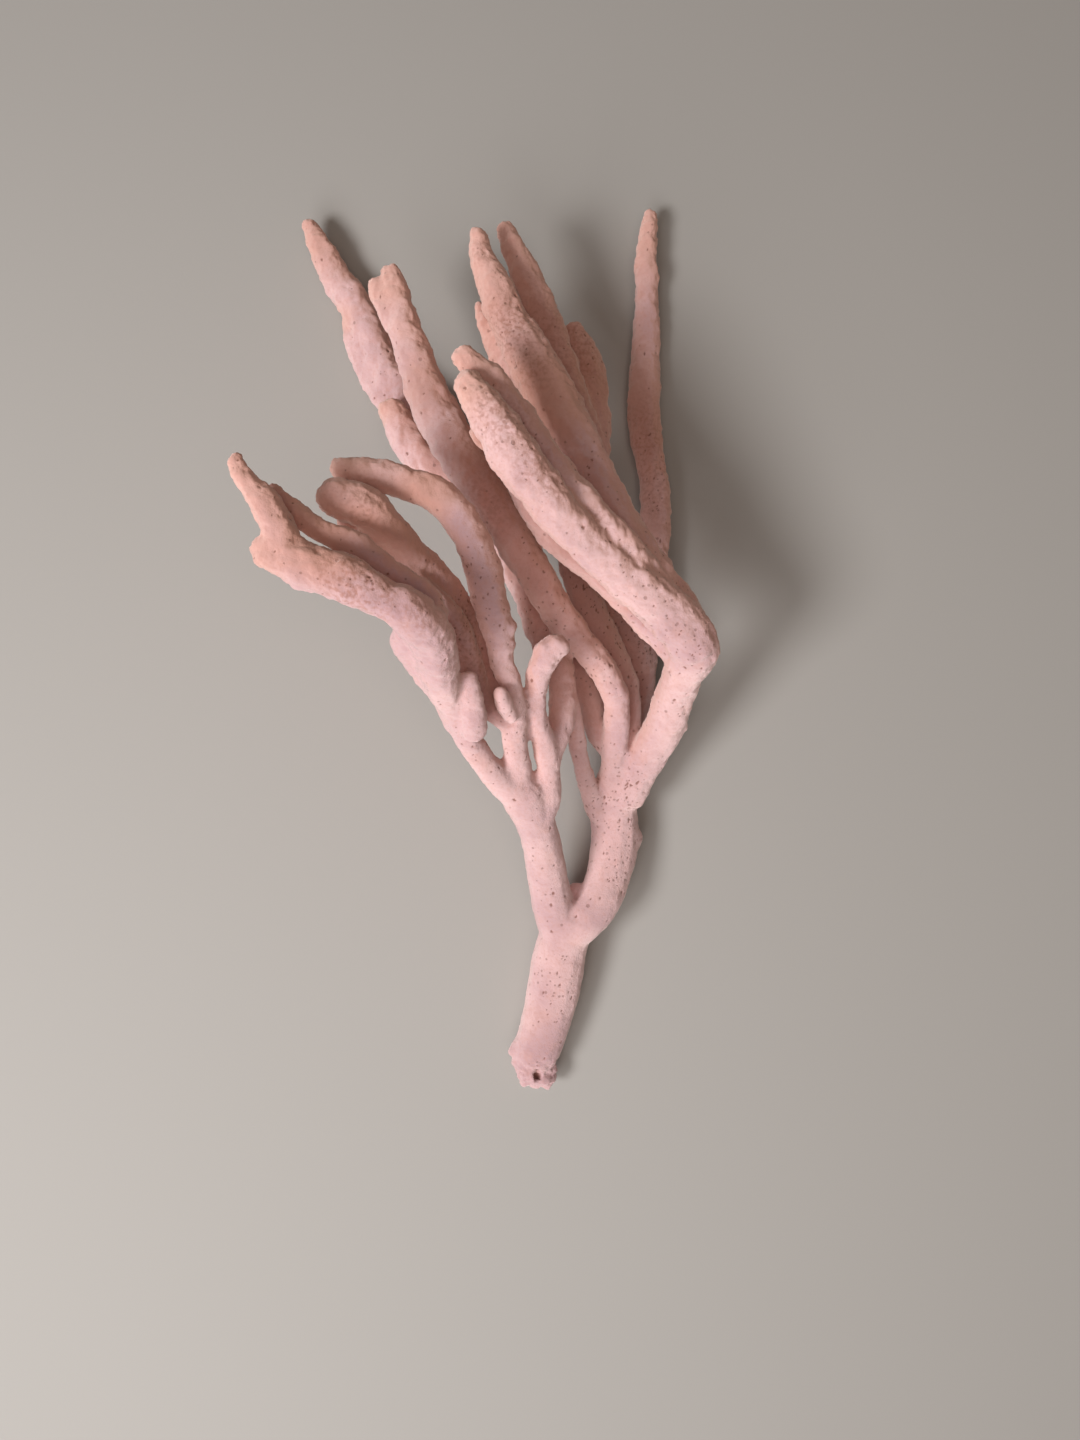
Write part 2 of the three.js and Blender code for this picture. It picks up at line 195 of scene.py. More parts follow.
grow_limb(
    "low_left_group", "left_thumb",
    [(-33, -8.5, 96, 5.6), (-33, 0, 101, 6), (-34, 10.5, 106, 5.6), (-35.5, 18.5, 110, 4.6)])

# Hooked finger
# The tall shaft that hooks to the left at its top, with the short thick finger that leaves its foot, the
# thin finger between that one and the low arm, and the short branch that bends to the right.
grow_limb(
    "hooked_group", "hooked_finger",
    [(-10, -37, 65, 8.5), (-11.3, -22.5, 72, 6.7), (-12.5, -10, 78, 6.3), (-12.6, 2.5, 83, 5.8),
     (-13, 12, 88, 5.5), (-15.3, 20, 91, 5.5), (-19, 29, 94, 5.8), (-20.5, 40, 98, 7),
     (-23, 52.5, 102, 8.2), (-25.7, 63, 105, 9), (-30, 80, 109, 8.9), (-36.5, 95, 112, 9.1),
     (-46.5, 108.5, 114, 9), (-57.5, 115.5, 116, 8.3), (-70, 119.5, 117, 8), (-82.5, 122.3, 118, 8.2),
     (-97.5, 124.5, 118, 6.4)],
    knobs=[(-15.5, 46.5, 101, 4), (-16, 37.5, 98, 3.8)], tip=30)
grow_limb(
    "hooked_group", "hooked_finger",
    [(-14, 1, 88, 3.8), (-17.8, 7, 94, 3.8), (-19.8, 12.5, 99, 3.4)])
grow_limb(
    "hooked_group", "blunt_finger",
    [(-15, 5, 78, 5.5), (-22, 17, 77, 6.2), (-27.5, 31, 80, 7.2), (-33, 43, 86, 7.6),
     (-40, 56, 93, 7.6), (-51, 71, 103, 7.6), (-63.5, 83, 113, 7.8), (-75, 95, 122, 8.8),
     (-88, 107, 129, 10.2), (-101, 111, 131, 9.6)],
    knobs=[(-80.5, 92.5, 122, 6), (-86, 95.5, 123, 4.5)], tip=18)
grow_limb(
    "hooked_group", "slim_finger",
    [(-14, -2, 80, 5), (-21.5, 2.5, 81, 5.2), (-28.5, 9, 83, 5.6), (-32.5, 18.5, 87, 6),
     (-35.5, 30, 92, 6), (-39.5, 42, 99, 5.8), (-46, 54, 106, 5.5), (-55, 64, 111, 5.2),
     (-64.5, 72.5, 114, 4.8), (-75, 80, 117, 4.5), (-87.5, 90, 119, 4), (-97.5, 98, 120, 3.2)],
    tip=40)
grow_limb(
    "hooked_group", "short_hook",
    [(-1, -46, 59, 9), (3.5, -37, 63, 7), (4.4, -28, 66, 6), (3.6, -19, 69, 5.8),
     (1.3, -9, 72, 5.7), (-1.5, 0, 76, 5.4), (-2.2, 10, 80, 5.2), (-1.2, 20, 85, 5.7),
     (0.5, 27.5, 90, 6.6), (4.2, 33.5, 93, 7.3), (7.5, 36, 94, 6.4)])

# Long left finger
# The back finger that starts beside the short hooked branch, sinks to the resting plane and ends at the top
# left, with the slim finger grown along it and the short one beside it.
grow_limb(
    "long_left_group", "long_left_finger",
    [(4, -22, 68, 6), (7, -11, 65, 6.3), (10.5, -1, 62, 6.2), (11.5, 10, 59, 6.3),
     (10.5, 21, 56, 7), (7.5, 32, 53, 8.4), (2.5, 43.5, 50, 9), (-2, 55, 47, 9),
     (-6.5, 66, 44, 8), (-12, 77.5, 41, 8.5), (-16.5, 90, 38, 8), (-21.5, 102.5, 35, 8.2),
     (-28.5, 114, 32, 8.4), (-36, 125, 29, 8.8), (-45, 136, 25, 9), (-55, 147, 20, 9.2),
     (-65, 159, 15, 9.2), (-75, 171, 11, 8.8), (-81, 184, 9.2, 8.5), (-87, 197, 8.8, 8.6),
     (-94.3, 210, 9, 8.4), (-101, 220, 10, 7.4), (-107, 231, 11.5, 6.4), (-112, 240.5, 13, 5.4),
     (-114.3, 245.5, 13.5, 4.3)], tip=42)
grow_limb(
    "long_left_group", "left_side_finger",
    [(-68, 152, 16, 6), (-77, 161, 12, 6.2), (-84, 170, 8.5, 5.8), (-88, 180, 7, 5.8),
     (-92.5, 190, 7, 5.4), (-94.5, 197, 7, 4.6)], tip=14)
grow_limb(
    "long_left_group", "left_short_finger",
    [(-25, 106, 36, 7), (-38, 116, 38, 8), (-50, 123, 38, 9), (-59, 131, 37, 9.4),
     (-67.5, 142, 36, 8.6), (-74, 153.5, 35, 6.8)], tip=16)

# Middle finger
# The long middle finger, which starts at the right limb, swells beyond its middle and ends in a split tip,
# and its short neighbour.
grow_limb(
    "middle_group", "middle_finger",
    [(37.5, -31, 24, 8.2), (37.2, -20, 32, 6.5), (37.8, -9, 39, 6.4), (38.5, 1, 45, 6.4),
     (38, 11, 50, 6.6), (34, 20.5, 54, 6.9), (28, 30, 58, 7), (20, 40, 61, 7.4),
     (12, 50, 64, 8), (5, 60, 67, 8.6), (-1, 70, 69, 9), (-6.5, 80, 70, 9.5),
     (-12.5, 90, 70, 10), (-22, 105, 70, 10.8), (-32, 121, 69, 11.4), (-41, 135, 68, 11.4),
     (-48, 147, 66, 11.2), (-54.7, 160, 64, 10.8), (-60.5, 175, 62, 9.6), (-65.3, 188.5, 61, 8.9),
     (-69.5, 202.5, 60, 8.2), (-72.8, 215, 60, 6.6), (-74.5, 222, 60, 5)],
    tip=34)
grow_limb(
    "middle_group", "middle_finger",
    [(-73, 196, 60, 4.6), (-77.8, 206, 60, 4.6), (-80.5, 212, 60, 4.5), (-81.5, 216, 60, 4)], tip=10)
grow_limb(
    "middle_group", "middle_stub",
    [(35.8, -14, 30, 6.2), (29, -4, 32, 6.6), (25.5, 7.5, 35, 6.4), (22, 18, 37, 6),
     (18, 28, 38, 5.6), (13, 38, 38, 5), (9, 45, 37, 4.2)])

# Back fingers
# The fingers that stay low behind the others: one with a broad, fuzzy end, the thin one that leaves it and
# runs up behind the tall finger, the nearly straight one at the far right and the one that leaves that.
grow_limb(
    "back_group", "back_finger",
    [(39, -20, 27, 7), (44.5, -3, 31, 6), (44, 11.5, 33, 6.3), (39, 26, 35, 7.2),
     (32, 40, 36, 7.8), (26, 53, 37, 8.2), (21, 66, 38, 8.6), (17.5, 80, 38, 8.6),
     (18.5, 95, 38, 8.2), (21.5, 110, 37, 8.2), (25, 125, 36, 8.4), (27, 140, 35, 8.4),
     (26, 155, 34, 8.6), (24.5, 169, 33, 9), (21.5, 181, 32, 8.6), (17.5, 191.5, 32, 6.2)], tip=60)
grow_limb(
    "back_group", "upper_back_finger",
    [(27, 133, 38, 7.5), (21, 147.5, 42, 8), (15, 165, 45, 8), (10, 180, 46, 7.5),
     (6, 193.5, 47, 7.4), (2, 203, 47, 7.3), (-2.5, 212, 48, 7.3), (-6.8, 221.5, 48, 7.1),
     (-11, 231, 48, 6.4), (-15.2, 240, 48, 5.4), (-17, 244.5, 48, 4.3)], tip=60)
grow_limb(
    "back_group", "rear_finger",
    [(50, 26, 19, 7), (47, 36, 22, 7.6), (41.5, 47.5, 24, 7.8), (36, 58, 26, 7.6),
     (30, 70, 28, 7.4), (25.5, 84, 30, 7), (22.5, 98, 32, 6)])
grow_limb(
    "back_group", "far_right_finger",
    [(43, -22, 19, 8), (45, -9, 18, 6.4), (46.7, 2.5, 17, 6.2), (49.8, 12.5, 17, 6.8),
     (51.2, 24, 17, 7.2), (50.5, 38, 17, 8.3), (52.5, 54, 16, 8.5), (55.5, 71, 14, 8),
     (57.5, 87.5, 12, 6.9), (58.3, 104, 10, 7.3), (56.5, 122.5, 8.6, 7.1), (54, 135, 8, 7.4),
     (52.5, 147.5, 7.8, 7.9), (52, 160, 7.8, 8.1), (52.2, 171, 7.6, 7.9), (53, 183, 7.4, 7),
     (53.3, 202.5, 8, 6.1), (53.5, 216, 9, 5.6), (53.3, 230, 10, 5.5), (54, 241, 10.5, 4.8),
     (55, 250.5, 11, 3.8)], tip=60)

# Elbow limb and front arm
# The limb that rises to an elbow at the right, the thick arm that runs from there across the front, the arm
# fused along its upper side and the thin finger that passes under it.
grow_limb(
    "elbow_group", "elbow_limb",
    [(42, -38, 20, 10.5), (49, -24, 28, 10.2), (56.8, -13, 36, 9.8), (62.3, -3, 45, 9.9),
     (65.6, 7, 54, 9.8), (69, 17, 63, 9.6), (73, 26, 72, 10.4), (77.5, 34, 80, 12)],
    knobs=[(71, 2, 49, 3.4), (70.3, -3.5, 46, 3.2), (65.8, -10, 41, 3.4), (61.4, -15.5, 37, 3.2),
           (57.8, -22.5, 32, 3.6), (53.2, -31, 26, 3.6)])
grow_limb(
    "elbow_group", "front_arm",
    [(79, 34, 82, 12.6), (74, 42.5, 85, 12.9), (64, 54, 89, 12.6), (50, 66, 94, 12),
     (36, 77, 99, 10.8), (22.5, 90, 105, 10.6), (10, 102.5, 110, 11.2), (0, 115, 113, 11.8),
     (-10, 129, 116, 12), (-20, 144, 117, 11.5), (-28, 156.5, 118, 10), (-34.5, 166, 118, 7.8)],
    knobs=[(-12.5, 118, 112, 4), (-37, 170.5, 118, 4.8)], tip=26)
grow_limb(
    "elbow_group", "front_arm_twin",
    [(60, 64, 88, 9.5), (50.5, 77, 93, 8.4), (43, 87, 99, 7.2), (35.2, 96, 102, 6.8),
     (26.8, 104.5, 103, 7.2), (19.2, 112.8, 103, 7.6), (11.5, 121, 102, 7.8), (3.8, 130, 101, 8),
     (-6.5, 145, 102, 8.2), (-17.5, 160, 105, 8), (-26, 171, 108, 7.4), (-37, 180, 110, 6.2)],
    tip=34)
grow_limb(
    "elbow_group", "under_finger",
    [(72, 32, 73, 8.5), (57.5, 46.5, 74, 8.2), (46, 58, 76, 8), (35.5, 68.8, 78, 7.8),
     (25, 77, 81, 7.6), (15.5, 84.5, 84, 7.4), (7, 92.7, 87, 7.3), (-0.5, 102, 89, 7.2),
     (-6, 111, 91, 7), (-15, 126, 93, 6.2), (-24, 137, 94, 5), (-31, 142.5, 95, 3.6)], tip=30)

# Tall finger
# The long thick finger that runs from the elbow to the top, and the thin finger grown along its left side.
grow_limb(
    "tall_group", "tall_finger",
    [(79, 38, 80, 11), (69, 54, 82, 11), (58, 70, 84, 10.6), (49, 84, 85, 10.2),
     (41, 97.5, 84, 9.8), (33.5, 111.5, 81, 9.8), (26, 125, 78, 10.6), (19, 137.5, 75, 11.6),
     (11.5, 151, 73, 12.5), (5, 163.5, 71, 12.6), (-2.5, 176, 70, 12), (-9, 188, 69, 11),
     (-15.5, 200, 68, 10), (-20, 210, 68, 9.3), (-24, 220, 67, 8.4), (-28.5, 230, 67, 6.3),
     (-31, 241, 66, 4.6)], tip=24)
grow_limb(
    "tall_group", "tall_finger_spur",
    [(6, 142, 66, 7), (-4, 159, 62, 7), (-12, 171.5, 60, 6.6), (-20.5, 184, 58, 5.4),
     (-26.5, 195, 57, 4.2), (-29.5, 205, 56, 3.2)], tip=60)

# Growing together
# The sponge is one growth. The limbs become one skin, first coarse and smoothed so that the forks fill out,
# then fine enough for the swellings, the felt and the pores.
FORK_GRAIN = 1.1
FORK_SMOOTHING = 5
SKIN_GRAIN = 0.75
SKIN_SMOOTHING = 2


def apply_modifier(kind, **settings):
    bpy.ops.object.modifier_add(type=kind)
    modifier = bpy.context.object.modifiers[-1]
    for name, value in settings.items():
        setattr(modifier, name, value)
    bpy.ops.object.modifier_apply(modifier=modifier.name)


bpy.ops.object.select_all(action="DESELECT")
for limb in raw_limbs:
    limb.select_set(True)
bpy.context.view_layer.objects.active = stalk
bpy.ops.object.join()
sponge = bpy.context.object
sponge.name = "whole_sponge"
apply_modifier("REMESH", mode="VOXEL", voxel_size=FORK_GRAIN * MM)
apply_modifier("SMOOTH", factor=0.5, iterations=FORK_SMOOTHING)
apply_modifier("REMESH", mode="VOXEL", voxel_size=SKIN_GRAIN * MM)
apply_modifier("SMOOTH", factor=0.5, iterations=SKIN_SMOOTHING)

# Swellings and velvet
# The fingers swell, sink and are knobbly. The stalk and the limbs near it stay smoother. All of the skin is
# rough like felt, the tips are tufted, and the torn foot is drawn into folds. A layer has the size and the
# height of its bumps.
SWELLING_LAYERS = (("swellings", 12, 2.0), ("lumps", 6.5, 2.3), ("knobbles", 2.8, 0.6))
FELT_LAYERS = (("felt", 1.5, 0.38),)
TUFT_LAYERS = (("tufts", 1.5, 0.8),)
FOLD_LAYERS = (("folds", 4, 4.5),)
SMOOTH_SHARE = 0.3
SMOOTH_UNTIL = -60
KNOBBLY_FROM = 40
TORN_FOOT = (-2, -181, 13)
TORN_REACH = 19
TORN_CORE = 0.5

skin = sponge.data
count = len(skin.vertices)


def read_points(source, name):
    values = np.empty(count * 3, np.float32)
    source.foreach_get(name, values)
    return values.reshape(-1, 3)


def nearness(place, reach):
    """How near each point of the skin is to a place: 1 there, and 0 from the given reach outwards."""
    return np.clip(1 - np.linalg.norm(places - np.array(place, np.float32), axis=1) / reach, 0, 1)


def along_y(start, end):
    """How far each point of the skin has come from one line across the view to another, from 0 to 1."""
    low, high = true_place(0, start, 0).y, true_place(0, end, 0).y
    return np.clip((places[:, 1] - low) / (high - low), 0, 1)


def displace(layers, share):
    """Moves the skin in and out by each layer's bumps, at each point by the given share of them."""
    calm = read_points(skin.vertices, "co")
    for name, size, height in layers:
        grain = bpy.data.textures.new(name, "CLOUDS")
        grain.noise_scale = size * MM
        apply_modifier(
            "DISPLACE", texture=grain, texture_coords="LOCAL", strength=height * MM, mid_level=0.5)
    moved = read_points(skin.vertices, "co")
    skin.vertices.foreach_set("co", (calm + (moved - calm) * share[:, None]).ravel())


places = read_points(skin.vertices, "co")
tipness = np.zeros(count, np.float32)
for place, reach in tips:
    tipness = np.maximum(tipness, nearness(place, reach))
displace(SWELLING_LAYERS, SMOOTH_SHARE + (1 - SMOOTH_SHARE) * along_y(SMOOTH_UNTIL, KNOBBLY_FROM))
displace(TUFT_LAYERS, tipness)
tornness = nearness(true_place(*TORN_FOOT), TORN_REACH * MM)
displace(FOLD_LAYERS, np.minimum(tornness / TORN_CORE, 1))
displace(FELT_LAYERS, np.ones(count, np.float32))

# Pores
# Small holes where water left the living sponge. They lie closest at the end of the right limb, and then
# along that limb and the lower part of the far right finger. Each field is a place on the sponge as the
# limbs give it, how far it reaches and how close its pores lie.
PORE_FIELDS = (
    (46, -38, 22, 34, 1.0),
    (42, -66, 16, 26, 0.6),
    (8, -130, 24, 26, 0.5),
    (5, -80, 40, 18, 0.3),
    (74, 40, 88, 24, 0.5),
    (50, 72, 100, 30, 0.4),
    (-12, 138, 118, 24, 0.3),
    (30, 120, 82, 34, 0.2),
    (-5, 190, 72, 30, 0.3),
    (55, 40, 24, 50, 0.6),
    (55, 120, 12, 40, 0.4),
    (30, 60, 40, 60, 0.5),
    (-85, 66, 156, 26, 0.3),
    (-24, 60, 104, 30, 0.4),
    (12, 48, 60, 24, 0.4),
    (-20, 0, 86, 30, 0.3),
)
BACKGROUND_PORES = 0.07
PORE_SEED = 11
PORE_COUNT = 1300
PORE_RADIUS = 0.5
PORE_SPREAD = 0.35
PORE_STRETCH = 1.6
PORE_DEPTH = 0.6

# The large holes: the hollow in the torn foot, as two holes that run together, each with its place, its
# radius and its depth.
LARGE_HOLES = (
    (-1.8, -177.2, 20, 2.8, 4.5),
    (-1.2, -179.4, 18, 2.6, 4.0),
)

places = read_points(skin.vertices, "co")
normals = read_points(skin.vertices, "normal")


def near(fields):
    """How much each point of the skin lies in the given fields, from 0 to each field's own strength."""
    amount = np.zeros(count, np.float32)
    for x, y, height, reach, strength in fields:
        away = np.linalg.norm(places - np.array(true_place(x, y, height), np.float32), axis=1)
        amount = np.maximum(amount, strength * np.clip(1 - (away / (reach * MM)) ** 2, 0, 1))
    return amount


# For each point of the skin: the nearest limb, and how much of the open space over it the limbs take up,
# which sets the painted shade between the fingers.
# The points are taken in batches, to keep the tables small.
BATCH = 20000
LEAST_SQUARE = 1e-9

axis_places = np.array([place for _, place, _, _ in axis_points], np.float32)
axis_radii = np.array([radius for _, _, radius, _ in axis_points], np.float32)
nearest = np.empty(count, np.int32)
painted_shade_cover = np.empty(count, np.float32)
for start in range(0, count, BATCH):
    batch = slice(start, start + BATCH)
    part, outward = places[batch], normals[batch]
    squares = (part ** 2).sum(1)[:, None] + (axis_places ** 2).sum(1)[None] - 2 * part @ axis_places.T
    away = np.sqrt(np.maximum(squares, LEAST_SQUARE))
    nearest[batch] = (away - axis_radii).argmin(1)
    facing = outward @ axis_places.T - (outward * part).sum(1)[:, None]
    covered = np.clip(facing / away, 0, 1) * axis_radii * (2 * AXIS_STEP * MM / np.pi) / away ** 2
    painted_shade_cover[batch] = covered.sum(1)

porous = np.maximum(near(PORE_FIELDS), BACKGROUND_PORES)
dice = np.random.default_rng(PORE_SEED)
pore_spots = dice.choice(count, PORE_COUNT, replace=False, p=porous / porous.sum())
pore_sizes = PORE_RADIUS * np.exp(dice.normal(0, PORE_SPREAD, PORE_COUNT)) * MM

tree = KDTree(count)
for index, place in enumerate(places):
    tree.insert(place, index)
tree.balance()

pores = np.zeros(count, np.float32)
for spot, size in zip(pore_spots, pore_sizes):
    along = np.array(axis_points[nearest[spot]][3])
    around = np.array([index for _, index, _ in tree.find_range(places[spot], size * PORE_STRETCH)])
    offset = places[around] - places[spot]
    lengthwise = offset @ along
    squares = (offset ** 2).sum(1) - lengthwise ** 2 + (lengthwise / PORE_STRETCH) ** 2
    hollow = np.clip(1 - squares / size ** 2, 0, 1)
    pores[around] = np.maximum(pores[around], hollow)
sinking = pores * PORE_DEPTH
for x, y, height, reach, depth in LARGE_HOLES:
    _, middle, _ = tree.find(true_place(x, y, height))
    around = np.array([index for _, index, _ in tree.find_range(places[middle], reach * MM)])
    offset = np.linalg.norm(places[around] - places[middle], axis=1)
    hollow = np.clip(1 - (offset / (reach * MM)) ** 2, 0, 1)
    pores[around] = np.maximum(pores[around], hollow)
    sinking[around] = np.maximum(sinking[around], hollow * depth)
places -= normals * (sinking * MM)[:, None]

# Rest on the plane: what would sink below it is pressed flat.
places[:, 2] = np.maximum(places[:, 2], 0)
skin.vertices.foreach_set("co", places.ravel())
skin.update()

# Where the skin is brown: fibrous stretches along the ridges, with painted shade on them, and painted shade
# in the hollows between fingers.
BROWN_AND_SHADE_FIELDS = (
    (-16, 155, 124, 20, 0.9),
    (-2, 128, 122, 12, 0.7),
    (8, 116, 120, 9, 0.7),
    (28, 100, 108, 10, 0.6),
    (-12, 198, 78, 20, 0.9),
    (-6, 176, 80, 16, 0.6),
    (-28, 234, 70, 9, 0.6),
    (-92, 66, 167, 22, 0.9),
    (-60, 50, 160, 12, 0.6),
    (-86, 108, 138, 12, 0.6),
    (-26, 110, 80, 20, 0.4),
    (54, 130, 16, 40, 0.6),
    (20, 195, 40, 40, 0.6),
    (8, 160, 50, 40, 0.4),
    (-40, 44, 96, 18, 0.8),
    (-32, 24, 92, 12, 0.7),
)
brown_and_shade = near(BROWN_AND_SHADE_FIELDS)

# Where it is mauve: along the low left arm, on the shaft of the hooked finger and round the foot.
MAUVE_FIELDS = (
    (-88, 58, 150, 45, 1.0),
    (-60, 34, 140, 30, 0.8),
    (-40, 0, 92, 24, 0.5),
    (0, -172, 16, 24, 0.8),
    (-20, 60, 104, 30, 0.6),
)
mauve = near(MAUVE_FIELDS)

# Painted shade, in deep peach: on the outer parts of the fingers, and on the bend of the hooked one.
PAINTED_SHADE_FIELDS = (
    (0, 163, 82, 30, 0.8),
    (-57, 116, 124, 17, 0.7),
    (-108, 88, 165, 22, 0.7),
    (-58, 168, 73, 20, 0.5),
    (-72, 92, 124, 26, 0.5),
    (-104, 94, 150, 18, 0.5),
    (52, 150, 16, 36, 0.5),
    (24, 168, 40, 24, 0.5),
)
painted_shade_patches = near(PAINTED_SHADE_FIELDS)

# Painted shade: the fingers are peach on the side that is turned to the right and to the top of the view,
# away from the light.
SHADED_SIDE_DIRECTION = (0.8, 0.5, -0.2)
SHADED_SIDE_SPREAD = 0.25
SHADED_SIDE_FROM = -20
SHADED_SIDE_UNTIL = 60
painted_shade_side = along_y(SHADED_SIDE_FROM, SHADED_SIDE_UNTIL)
painted_shade_side *= np.clip(normals @ np.array(SHADED_SIDE_DIRECTION, np.float32) + SHADED_SIDE_SPREAD, 0, 1)

# Painted shade: a warm tint between the fingers, as much as the limbs cover the open space over the skin. It
# counts for less on the stalk and on the limbs near it.
PAINTED_SHADE_SHARE = 0.35
PAINTED_SHADE_FROM = -40
PAINTED_SHADE_UNTIL = 50
painted_shade_between = painted_shade_cover * (PAINTED_SHADE_SHARE + (1 - PAINTED_SHADE_SHARE) * along_y(PAINTED_SHADE_FROM, PAINTED_SHADE_UNTIL))


def write_attribute(name, values):
    skin.attributes.new(name, "FLOAT", "POINT").data.foreach_set("value", values)


write_attribute("porous", porous)
write_attribute("pore", pores)
write_attribute("brown_and_shade", brown_and_shade)
write_attribute("mauve", mauve)
write_attribute("painted_shade_patches", painted_shade_patches)
write_attribute("painted_shade_side", painted_shade_side)
write_attribute("peach", tipness)
write_attribute("painted_shade_cover", painted_shade_between)
skin.attributes.new("grown_normal", "FLOAT_VECTOR", "POINT")

# Velvet skin
# Dry fibre felt, pale pink with mauve and peach clouds. The tips are peach, the fibrous stretches brown,
# partly as painted shade, and the pores dark red-brown. Painted shade is also peach on the sides turned to
# the upper right and in patches on the fingers, and warm between the fingers. The fibre ends catch the light
# at the edges.
PINK = (0.85, 0.62, 0.61, 1)
MAUVE = (0.64, 0.43, 0.45, 1)
PEACH = (0.79, 0.47, 0.36, 1)
SHADED_SIDE_PEACH = (0.77, 0.42, 0.31, 1)
PAINTED_SHADE_PEACH = (0.70, 0.38, 0.27, 1)
BROWN_AND_SHADE_COLOUR = (0.46, 0.20, 0.13, 1)
PAINTED_SHADE_AND_MOTTLE = (0.68, 0.38, 0.30, 1)
PORE_BROWN = (0.28, 0.10, 0.06, 1)
FUZZ = (1.0, 0.84, 0.78, 1)


def velvet_skin():
    """The material of the whole sponge, painted by the attributes written above."""
    material = bpy.data.materials.new("velvet_skin")
    material.use_nodes = True
    nodes = material.node_tree.nodes
    links = material.node_tree.links
    shader = nodes["Principled BSDF"]
    shader.inputs["Roughness"].default_value = 0.92
    shader.inputs["Diffuse Roughness"].default_value = 1.0
    shader.inputs["Specular IOR Level"].default_value = 0.15
    shader.inputs["Sheen Weight"].default_value = 0.8
    shader.inputs["Sheen Roughness"].default_value = 0.35
    shader.inputs["Sheen Tint"].default_value = FUZZ
    spot = nodes.new("ShaderNodeTexCoord").outputs["Object"]

    def noise(size, detail=3):
        made = nodes.new("ShaderNodeTexNoise")
        made.inputs["Scale"].default_value = 1 / (size * MM)
        made.inputs["Detail"].default_value = detail
        links.new(spot, made.inputs["Vector"])
        return made.outputs["Fac"]

    def painted(name):
        made = nodes.new("ShaderNodeAttribute")
        made.attribute_name = name
        return made.outputs["Fac"]

    def window(value, low, high, top=1.0):
        made = nodes.new("ShaderNodeMapRange")
        made.interpolation_type = "SMOOTHSTEP"
        made.inputs["From Min"].default_value = low
        made.inputs["From Max"].default_value = high
        made.inputs["To Max"].default_value = top
        links.new(value, made.inputs["Value"])
        return made.outputs["Result"]

    def reckon(operation, first, second):
        made = nodes.new("ShaderNodeMath")
        made.operation = operation
        for socket, value in zip(made.inputs, (first, second)):
            if isinstance(value, (int, float)):
                socket.default_value = value
            else:
                links.new(value, socket)
        return made.outputs["Value"]

    def tint(under, over, amount):
        made = nodes.new("ShaderNodeMix")
        made.data_type = "RGBA"
        links.new(amount, made.inputs["Factor"])
        for socket, colour in ((made.inputs[6], under), (made.inputs[7], over)):
            if isinstance(colour, tuple):
                socket.default_value = colour
            else:
                links.new(colour, socket)
        return made.outputs[2]

    colour = tint(PINK, MAUVE, window(noise(34), 0.42, 0.72, 0.7))
    colour = tint(colour, MAUVE, window(painted("mauve"), 0.0, 0.8, 0.7))
    colour = tint(colour, PEACH, window(noise(9), 0.5, 0.78, 0.2))
    # Painted shade, peach, on the fingers' sides turned to the upper right.
    colour = tint(colour, SHADED_SIDE_PEACH, window(painted("painted_shade_side"), 0.0, 0.9, 0.7))
    colour = tint(colour, PEACH, window(painted("peach"), 0.0, 0.75, 0.6))
    # Painted shade, deep peach, in patches on the fingers.
    colour = tint(colour, PAINTED_SHADE_PEACH, window(painted("painted_shade_patches"), 0.0, 0.8, 0.65))
    # Painted shade: a warm tint between the fingers. The next line uses the same colour for random mottling.
    colour = tint(colour, PAINTED_SHADE_AND_MOTTLE, window(painted("painted_shade_cover"), 0.25, 0.9, 0.5))
    colour = tint(colour, PAINTED_SHADE_AND_MOTTLE, window(noise(1.3, 4), 0.45, 0.7, 0.25))
    fibres = window(noise(1.7, 5), 0.42, 0.66, 0.65)
    # Brown fibres: partly real fibrous stretches, partly painted shade.
    colour = tint(colour, BROWN_AND_SHADE_COLOUR, reckon("MULTIPLY", painted("brown_and_shade"), fibres))

    def dots(spacing, size, share):
        cells = nodes.new("ShaderNodeTexVoronoi")
        cells.inputs["Scale"].default_value = 1 / (spacing * MM)
        links.new(spot, cells.inputs["Vector"])
        draw = nodes.new("ShaderNodeSeparateColor")
        links.new(cells.outputs["Color"], draw.inputs["Color"])
        chosen = reckon("LESS_THAN", draw.outputs["Red"], reckon("MULTIPLY", painted("porous"), share))
        edge = size / spacing
        reach = reckon("MULTIPLY", draw.outputs["Green"], edge)
        inside = window(reckon("SUBTRACT", cells.outputs["Distance"], reach), edge * 0.5, 0.0)
        return reckon("MULTIPLY", inside, chosen)

    small_dots = reckon("MAXIMUM", dots(2.0, 0.5, 1.0), dots(4.2, 0.75, 0.9))
    holes = reckon("MAXIMUM", reckon("MULTIPLY", small_dots, 0.4), window(painted("pore"), 0.15, 0.8, 0.7))
    colour = tint(colour, PORE_BROWN, holes)
    links.new(colour, shader.inputs["Base Color"])

    felt = reckon("SUBTRACT", noise(0.7, 4), reckon("MULTIPLY", small_dots, 0.8))
    bump = nodes.new("ShaderNodeBump")
    bump.inputs["Strength"].default_value = 0.8
    bump.inputs["Distance"].default_value = 0.35 * MM
    links.new(felt, bump.inputs["Height"])
    links.new(bump.outputs["Normal"], shader.inputs["Normal"])
    return material


# Parting
# The one skin is parted at the main forks, so that each bough is a closed piece of its own. Where it is cut,
# it keeps the bend of the whole skin, and the cut is closed inside the sponge.
PARTING_ROUNDS = 8
CUT_LIP = 2.5

